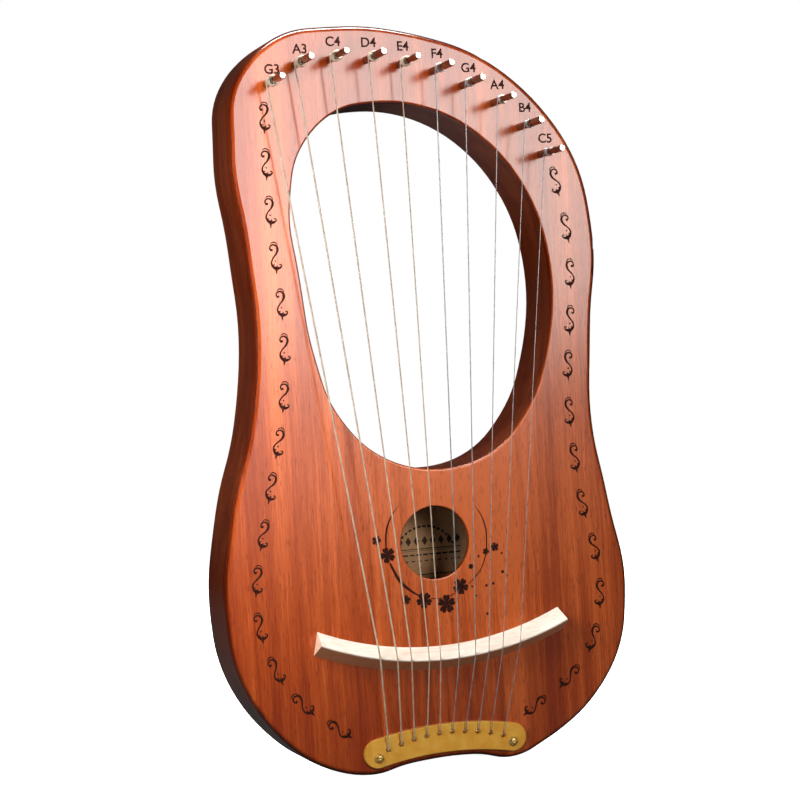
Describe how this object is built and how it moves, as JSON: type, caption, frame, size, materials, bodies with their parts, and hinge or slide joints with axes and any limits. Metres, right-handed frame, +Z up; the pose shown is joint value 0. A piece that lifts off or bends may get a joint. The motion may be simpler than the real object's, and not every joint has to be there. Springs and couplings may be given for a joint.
{
  "type": "lyre",
  "caption": "Hand-held lyre with a one-piece rounded yoke body, a round sound hole, a curved wooden bridge, a brass tail plate and metal strings on turnable tuning pins.",
  "frame": {"origin": "bottom centre of the bounding box, between the two feet on the lower edge", "axes": "+Z up along the strings, +Y from the front face to the back, +X to the right seen from the front"},
  "size_m": [0.2382, 0.0662, 0.4102],
  "materials": {
    "face_veneer": "satin mahogany veneer, upright grain",
    "body_wood": "satin dark mahogany",
    "inner_wood": "raw",
    "maple": "smooth, unvarnished",
    "brass": "satin brushed",
    "pin_steel": "polished",
    "wound_string": "bright, wire-wound",
    "plain_string": "bright",
    "paper": "matt paper"
  },
  "bodies": {
    "root": {"back_board": "body_wood", "ball_ends": "brass", "body_frame": "body_wood", "brace_lower": "inner_wood", "brace_upper": "inner_wood", "bridge": "maple", "paper_label": "paper", "soundboard": "face_veneer", "string_a3": "wound_string", "string_a4": "plain_string", "string_b4": "plain_string", "string_c4": "wound_string", "string_c5": "plain_string", "string_d4": "wound_string", "string_e4": "wound_string", "string_f4": "plain_string", "string_g3": "wound_string", "string_g4": "plain_string", "tail_block": "inner_wood", "tail_plate": "brass", "tail_screws": "brass"},
    "pin_g3": {"tuning_pin_g3": "pin_steel", "pin_winding_g3": "wound_string"},
    "pin_a3": {"tuning_pin_a3": "pin_steel", "pin_winding_a3": "wound_string"},
    "pin_c4": {"tuning_pin_c4": "pin_steel", "pin_winding_c4": "wound_string"},
    "pin_d4": {"tuning_pin_d4": "pin_steel", "pin_winding_d4": "wound_string"},
    "pin_e4": {"tuning_pin_e4": "pin_steel", "pin_winding_e4": "wound_string"},
    "pin_f4": {"tuning_pin_f4": "pin_steel", "pin_winding_f4": "plain_string"},
    "pin_g4": {"tuning_pin_g4": "pin_steel", "pin_winding_g4": "plain_string"},
    "pin_a4": {"tuning_pin_a4": "pin_steel", "pin_winding_a4": "plain_string"},
    "pin_b4": {"tuning_pin_b4": "pin_steel", "pin_winding_b4": "plain_string"},
    "pin_c5": {"tuning_pin_c5": "pin_steel", "pin_winding_c5": "plain_string"}
  },
  "joints": [
    {"name": "tune_g3", "type": "hinge", "parent": "root", "child": "pin_g3", "pos_m": [-0.07857, -0.0036, 0.37835], "axis": [0, 1, 0], "continuous": true},
    {"name": "tune_a3", "type": "hinge", "parent": "root", "child": "pin_a3", "pos_m": [-0.06197, -0.0036, 0.38865], "axis": [0, 1, 0], "continuous": true},
    {"name": "tune_c4", "type": "hinge", "parent": "root", "child": "pin_c4", "pos_m": [-0.04207, -0.0036, 0.39155], "axis": [0, 1, 0], "continuous": true},
    {"name": "tune_d4", "type": "hinge", "parent": "root", "child": "pin_d4", "pos_m": [-0.02107, -0.0036, 0.39115], "axis": [0, 1, 0], "continuous": true},
    {"name": "tune_e4", "type": "hinge", "parent": "root", "child": "pin_e4", "pos_m": [-0.00157, -0.0036, 0.38885], "axis": [0, 1, 0], "continuous": true},
    {"name": "tune_f4", "type": "hinge", "parent": "root", "child": "pin_f4", "pos_m": [0.01773, -0.0036, 0.38505], "axis": [0, 1, 0], "continuous": true},
    {"name": "tune_g4", "type": "hinge", "parent": "root", "child": "pin_g4", "pos_m": [0.03543, -0.0036, 0.37715], "axis": [0, 1, 0], "continuous": true},
    {"name": "tune_a4", "type": "hinge", "parent": "root", "child": "pin_a4", "pos_m": [0.05313, -0.0036, 0.36715], "axis": [0, 1, 0], "continuous": true},
    {"name": "tune_b4", "type": "hinge", "parent": "root", "child": "pin_b4", "pos_m": [0.06893, -0.0036, 0.35355], "axis": [0, 1, 0], "continuous": true},
    {"name": "tune_c5", "type": "hinge", "parent": "root", "child": "pin_c5", "pos_m": [0.08033, -0.0036, 0.33785], "axis": [0, 1, 0], "continuous": true}
  ]
}
